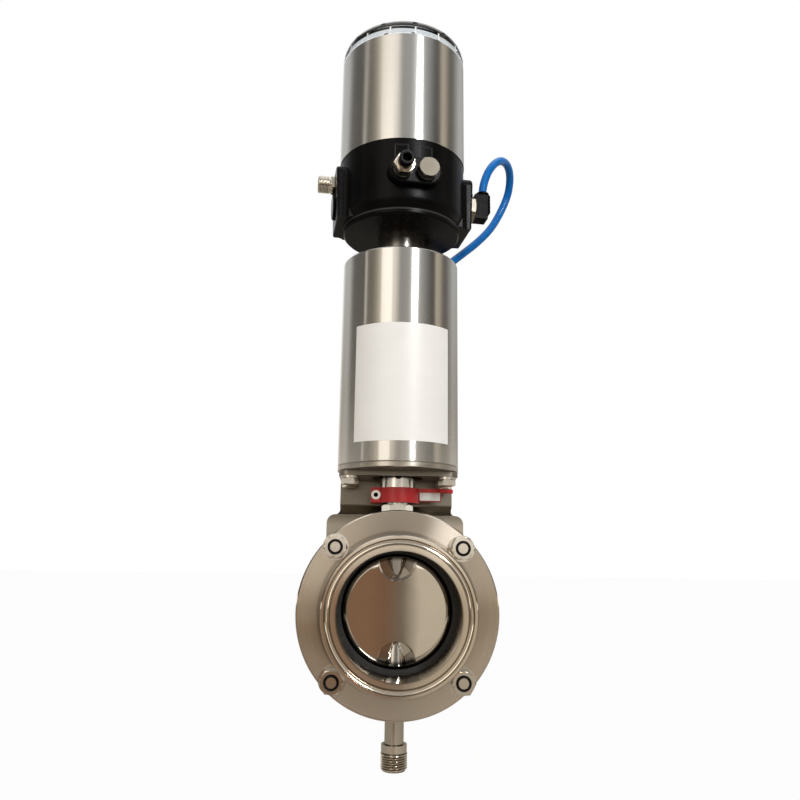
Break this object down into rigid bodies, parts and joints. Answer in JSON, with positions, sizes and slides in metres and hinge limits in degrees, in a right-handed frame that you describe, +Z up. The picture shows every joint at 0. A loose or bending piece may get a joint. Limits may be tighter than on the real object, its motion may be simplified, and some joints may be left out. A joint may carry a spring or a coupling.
{
  "type": "mixproof butterfly valve",
  "caption": "Pneumatic mixproof butterfly valve: clamp pipe ends, double-sealed disc, leak drain, bracket, spring-return actuator and cylindrical control head.",
  "frame": {"origin": "where the pipe axis crosses the stem axis, at the centre of the disc", "axes": "+Z up along the stem to the control head, +Y along the pipe from the front end to the rear end, +X to the right seen from the front"},
  "size_m": [0.1524, 0.1197, 0.4978],
  "materials": {
    "turned_steel": "turned, bright",
    "brushed_tube": "brushed along the circumference",
    "satin_sheet": "satin, blasted",
    "mirror_steel": "mirror polished",
    "bolt_steel": "drawn, fine",
    "machined_steel": "machined",
    "spring_steel": "plain",
    "bronze": "machined",
    "nickel_brass": "nickel plated",
    "seal_rubber": "matte",
    "ptfe": "matte",
    "red_plastic": "satin",
    "white_plastic": "matte",
    "black_plastic": "fine grain",
    "clear_plastic": "clear, glossy",
    "blue_tube": "glossy",
    "board_green": "lacquered board",
    "magnet": "coated"
  },
  "bodies": {
    "housing": {"front_flange": "turned_steel", "rear_flange": "turned_steel", "body_ring": "turned_steel", "front_seal": "seal_rubber", "rear_seal": "seal_rubber", "body_bolts": "bolt_steel", "body_nuts": "bolt_steel", "body_washers": "bolt_steel", "upper_bush": "ptfe", "lower_bush": "ptfe", "stem_o_rings": "seal_rubber", "gland_nut": "machined_steel", "drain_tube": "mirror_steel", "drain_fitting": "machined_steel", "bracket": "satin_sheet", "fixing_bolts": "bolt_steel", "fixing_washers": "bolt_steel", "actuator_bottom_cap": "satin_sheet", "shaft_bearing": "bronze", "actuator_tube": "brushed_tube", "actuator_top_cap": "machined_steel", "rod_seal": "seal_rubber", "cap_seal": "seal_rubber", "guide_tube": "machined_steel", "return_spring": "spring_steel", "neck": "brushed_tube", "neck_nut": "machined_steel", "head_base": "black_plastic", "head_shell": "brushed_tube", "light_ring": "clear_plastic", "head_cap": "black_plastic", "shell_seal": "seal_rubber", "circuit_board": "board_green", "board_carrier": "black_plastic", "solenoid_valve": "black_plastic", "port_fitting": "nickel_brass", "port_washers": "seal_rubber", "port_plug": "nickel_brass", "connector": "nickel_brass", "vent_cover": "black_plastic", "elbow_stem": "nickel_brass", "elbow_body": "black_plastic", "air_elbow": "black_plastic", "hose": "blue_tube"},
    "stem": {"disc": "mirror_steel", "stem": "machined_steel", "trunnion": "machined_steel", "coupling": "machined_steel", "set_screw": "magnet", "indicator": "red_plastic", "indicator_screw": "bolt_steel", "indicator_tag": "white_plastic", "camshaft": "machined_steel"},
    "piston": {"piston": "machined_steel", "piston_seal": "seal_rubber", "drive_pins": "bolt_steel", "position_rod": "machined_steel", "magnet": "magnet"},
    "port_collet": {"port_collet": "black_plastic"},
    "elbow_collet": {"elbow_collet": "black_plastic"}
  },
  "joints": [
    {"name": "stem_turn", "type": "hinge", "parent": "housing", "child": "stem", "pos_m": [0, 0, 0], "axis": [0, 0, -1], "range_deg": [0, 90], "stiffness_Nm_per_rad": 1.5, "springref_deg": -108.86},
    {"name": "piston_slide", "type": "slide", "parent": "housing", "child": "piston", "axis": [0, 0, -1], "range_m": [0, 0.025], "deforming": ["return_spring"]},
    {"name": "port_release", "type": "slide", "parent": "housing", "child": "port_collet", "axis": [-0.1392, 0.9903, 0], "range_m": [0, 0.001], "stiffness_N_per_m": 2000, "springref_m": -0.0003},
    {"name": "elbow_release", "type": "slide", "parent": "housing", "child": "elbow_collet", "axis": [0, 0, -1], "range_m": [0, 0.001], "stiffness_N_per_m": 2000, "springref_m": -0.0003}
  ],
  "couplings": [
    {"joint": "piston_slide", "follows": "stem_turn", "m_per_rad": 0.015915}
  ]
}
